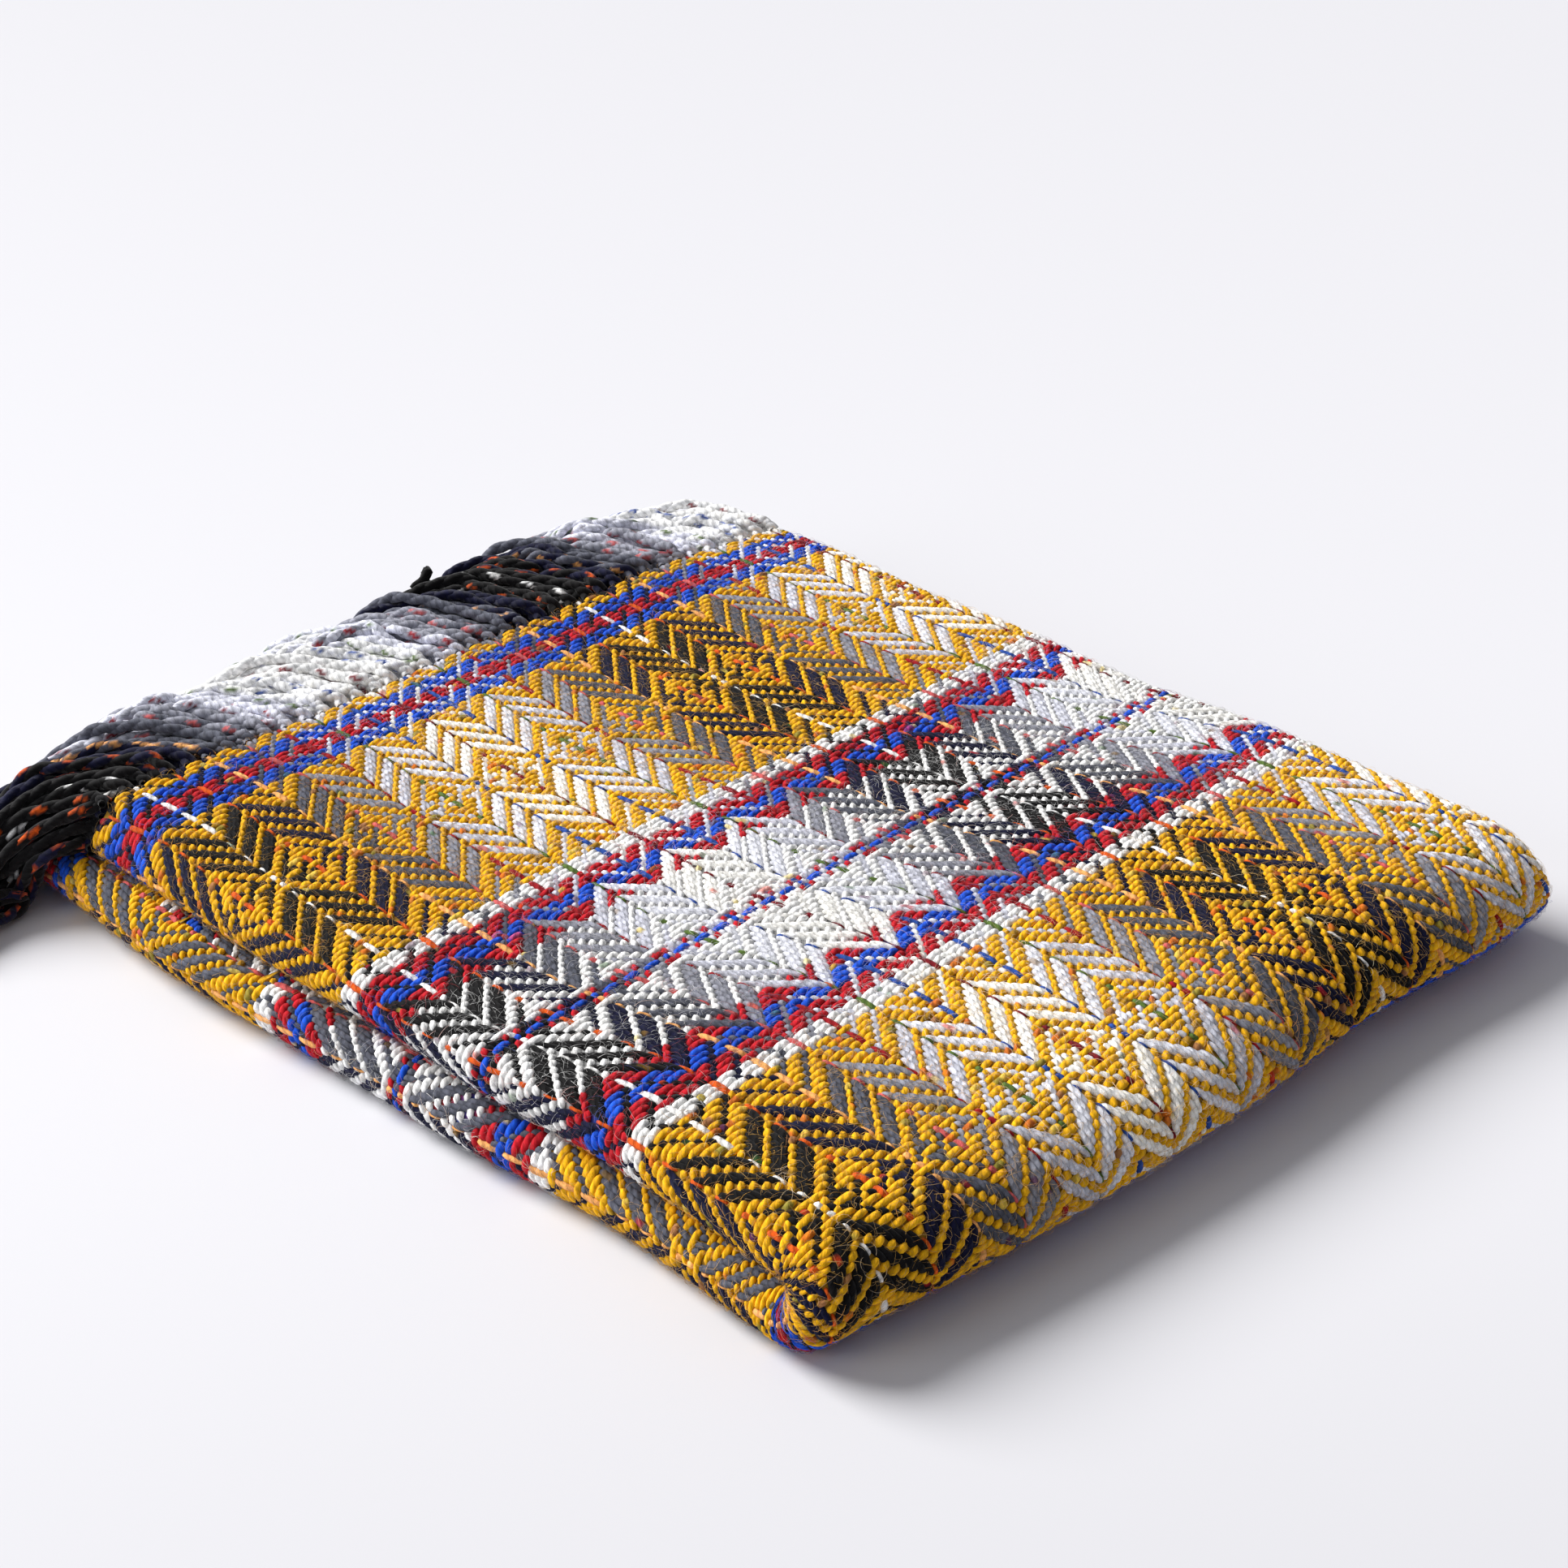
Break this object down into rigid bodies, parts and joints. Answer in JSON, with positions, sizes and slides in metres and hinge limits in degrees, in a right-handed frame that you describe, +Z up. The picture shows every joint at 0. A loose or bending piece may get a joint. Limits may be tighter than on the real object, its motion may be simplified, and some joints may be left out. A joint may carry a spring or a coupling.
{
  "type": "folded throw blanket",
  "caption": "Woven wool throw with zigzag twill bands, folded into a thick rectangular pile with a rounded front fold and a long twisted fringe lying behind it.",
  "frame": {"origin": "bottom centre of the whole pile's bounding box, on the surface it lies on", "axes": "+X along the weft, to the right seen from the front fold; +Y along the warp, from the front fold to the fringe; +Z up, through the layers"},
  "size_m": [0.4064, 0.4482, 0.0396],
  "materials": {
    "woven_cloth": "soft twill-woven wool, mustard ground with coloured bands",
    "mixed_fringe": "soft twisted wool, many colours together",
    "wool_black": "soft twisted wool, black yarns",
    "wool_charcoal": "soft twisted wool, charcoal yarns",
    "wool_grey": "soft twisted wool, grey yarns",
    "wool_navy": "soft twisted wool, navy yarns",
    "wool_silver": "soft twisted wool, silver yarns",
    "wool_white": "soft twisted wool, white yarns"
  },
  "bodies": {
    "lower_half": {"lower_bundle": "woven_cloth", "front_fold": "woven_cloth"},
    "upper_half": {"upper_bundle": "woven_cloth", "fringe_under_layers": "mixed_fringe", "fringe_cord_01": "wool_black", "fringe_cord_02": "wool_black", "fringe_cord_03": "wool_black", "fringe_cord_04": "wool_black", "fringe_cord_05": "wool_navy", "fringe_cord_06": "wool_charcoal", "fringe_cord_07": "wool_charcoal", "fringe_cord_08": "wool_charcoal", "fringe_cord_09": "wool_charcoal", "fringe_cord_10": "wool_grey", "fringe_cord_11": "wool_grey", "fringe_cord_12": "wool_silver", "fringe_cord_13": "wool_white", "fringe_cord_14": "wool_white", "fringe_cord_15": "wool_white", "fringe_cord_16": "wool_white", "fringe_cord_17": "wool_silver", "fringe_cord_18": "wool_silver", "fringe_cord_19": "wool_grey", "fringe_cord_20": "wool_grey", "fringe_cord_21": "wool_charcoal", "fringe_cord_22": "wool_charcoal", "fringe_cord_23": "wool_charcoal", "fringe_cord_24": "wool_navy", "fringe_cord_25": "wool_navy", "fringe_cord_26": "wool_black", "fringe_cord_27": "wool_black", "fringe_cord_28": "wool_black", "fringe_cord_29": "wool_navy", "fringe_cord_30": "wool_navy", "fringe_cord_31": "wool_charcoal", "fringe_cord_32": "wool_charcoal", "fringe_cord_33": "wool_charcoal", "fringe_cord_34": "wool_charcoal", "fringe_cord_35": "wool_grey", "fringe_cord_36": "wool_grey", "fringe_cord_37": "wool_silver", "fringe_cord_38": "wool_white", "fringe_cord_39": "wool_white", "fringe_cord_40": "wool_white"}
  },
  "joints": [
    {"name": "fold_open", "type": "hinge", "parent": "lower_half", "child": "upper_half", "pos_m": [0, -0.20474, 0.01985], "axis": [1, 0, 0], "range_deg": [0, 180], "deforming": ["front_fold"]}
  ]
}
